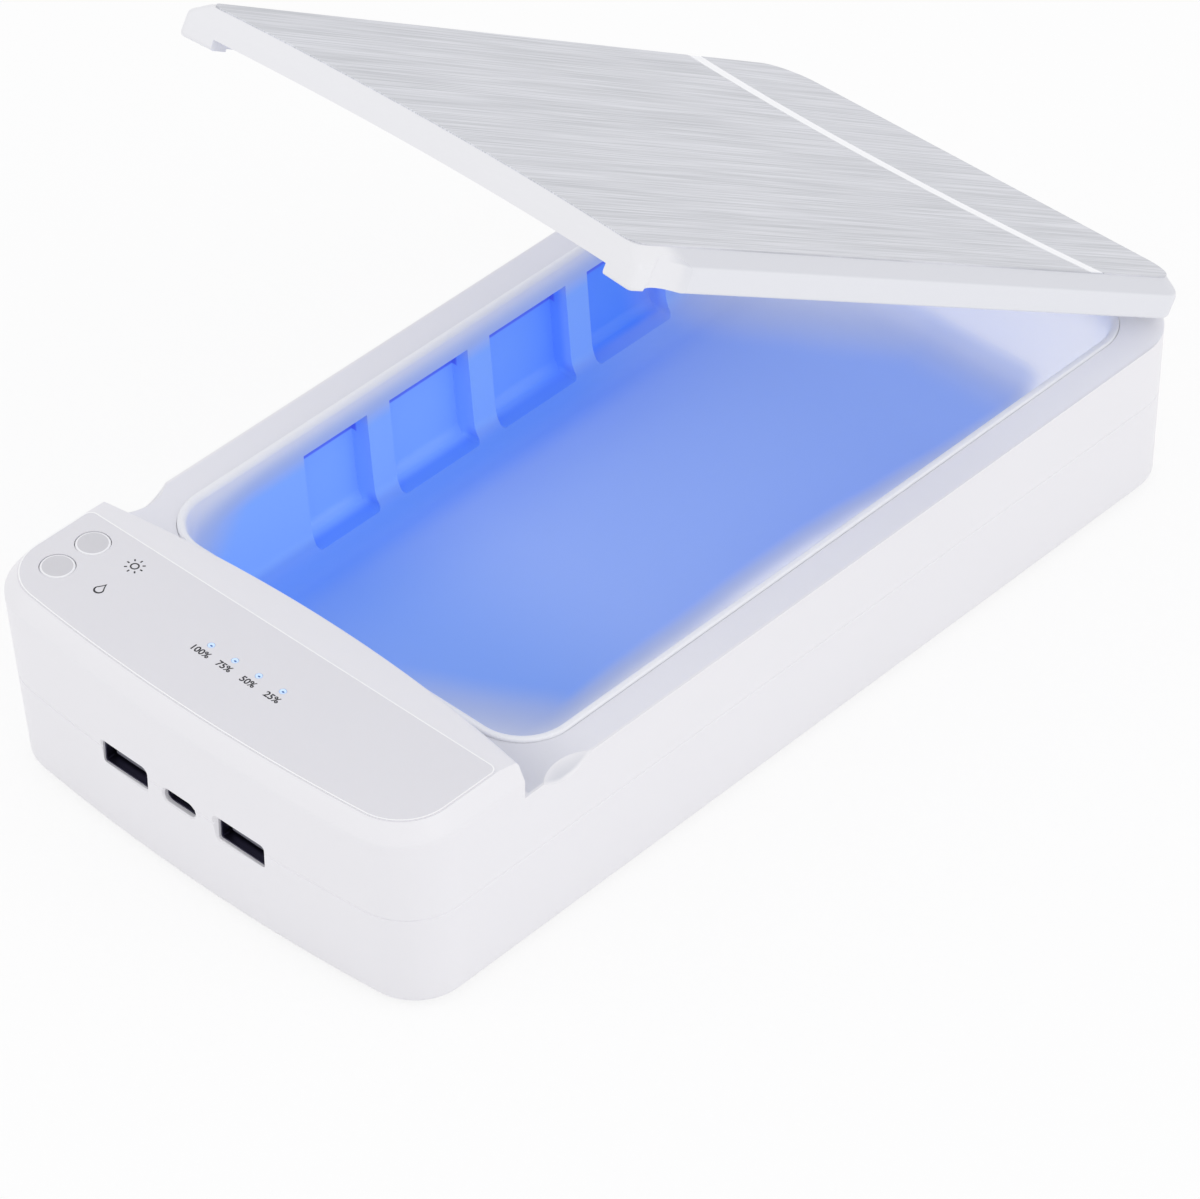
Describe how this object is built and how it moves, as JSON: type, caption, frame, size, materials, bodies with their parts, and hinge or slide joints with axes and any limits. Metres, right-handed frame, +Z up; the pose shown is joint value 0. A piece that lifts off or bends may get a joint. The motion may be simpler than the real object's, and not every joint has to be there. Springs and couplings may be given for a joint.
{
  "type": "nail tool sterilizer box",
  "caption": "Rounded white box with a hinged silver lid propped open over a blue-lit chamber, a raised control panel with push buttons and USB sockets in its front.",
  "frame": {"origin": "middle of the bounding box in plan, with the lid as it rests, at the feet's underside", "axes": "+X to the right as seen from the control panel, +Y from the panel to the hinge, +Z up"},
  "size_m": [0.126, 0.2557, 0.1619],
  "materials": {
    "white_plastic": "satin",
    "blue_lit_plastic": "satin",
    "silver_film": "satin",
    "brushed_sheet": "brushed",
    "pearl_strip": "gloss",
    "mirror_foil": "polished",
    "clear_plastic": "clear",
    "lamp_white": "gloss",
    "green_board": "satin",
    "white_board": "matt",
    "black_plastic": "matt",
    "steel": "satin",
    "battery_wrap": "satin",
    "lead_sleeve": "satin",
    "ceramic": "matt",
    "felt": "felt",
    "rubber": "matt"
  },
  "bodies": {
    "base": {"lower_shell": "white_plastic", "upper_shell": "white_plastic", "chamber_tub": "blue_lit_plastic", "control_film": "silver_film", "gauge_guide": "clear_plastic", "gauge_lamps": "lamp_white", "panel_board": "green_board", "lamp_switch": "black_plastic", "scent_switch": "black_plastic", "lid_sensor": "black_plastic", "main_board": "green_board", "usb_a_socket_left": "steel", "usb_a_socket_right": "steel", "usb_a_tongue_left": "black_plastic", "usb_a_tongue_right": "black_plastic", "usb_c_socket": "steel", "usb_c_tongue": "black_plastic", "control_chip": "black_plastic", "boost_coil": "black_plastic", "buffer_capacitor": "black_plastic", "battery_pack": "battery_wrap", "battery_leads": "lead_sleeve", "panel_ribbon": "lead_sleeve", "lamp_board_left": "white_board", "lamp_board_right": "white_board", "lamps_left": "lamp_white", "lamps_right": "lamp_white", "lamp_leads": "lead_sleeve", "scent_cup": "white_plastic", "scent_heater": "ceramic", "scent_pad": "felt", "scent_grille": "white_plastic", "scent_leads": "lead_sleeve", "case_screws": "steel", "board_screws": "steel", "feet": "rubber", "hinge_sleeves": "steel"},
    "lid": {"lid_cover": "white_plastic", "lid_sheet": "brushed_sheet", "lid_stripe": "pearl_strip", "lid_liner": "white_plastic", "lid_reflector": "mirror_foil", "lid_magnet": "steel", "lid_screws": "steel", "lid_bumpers": "rubber", "hinge_pins": "steel"},
    "lamp_key": {"lamp_button": "white_plastic", "lamp_plunger": "black_plastic"},
    "scent_key": {"scent_button": "white_plastic", "scent_plunger": "black_plastic"}
  },
  "joints": [
    {"name": "lid_hinge", "type": "hinge", "parent": "base", "child": "lid", "pos_m": [0, 0.1255, 0.0475], "axis": [-1, 0, 0], "range_deg": [-31.35, 53]},
    {"name": "lamp_button_press", "type": "slide", "parent": "base", "child": "lamp_key", "axis": [0, 0, -1], "range_m": [0, 0.0004], "stiffness_N_per_m": 400, "springref_m": -0.0015},
    {"name": "scent_button_press", "type": "slide", "parent": "base", "child": "scent_key", "axis": [0, 0, -1], "range_m": [0, 0.0004], "stiffness_N_per_m": 400, "springref_m": -0.0015}
  ]
}
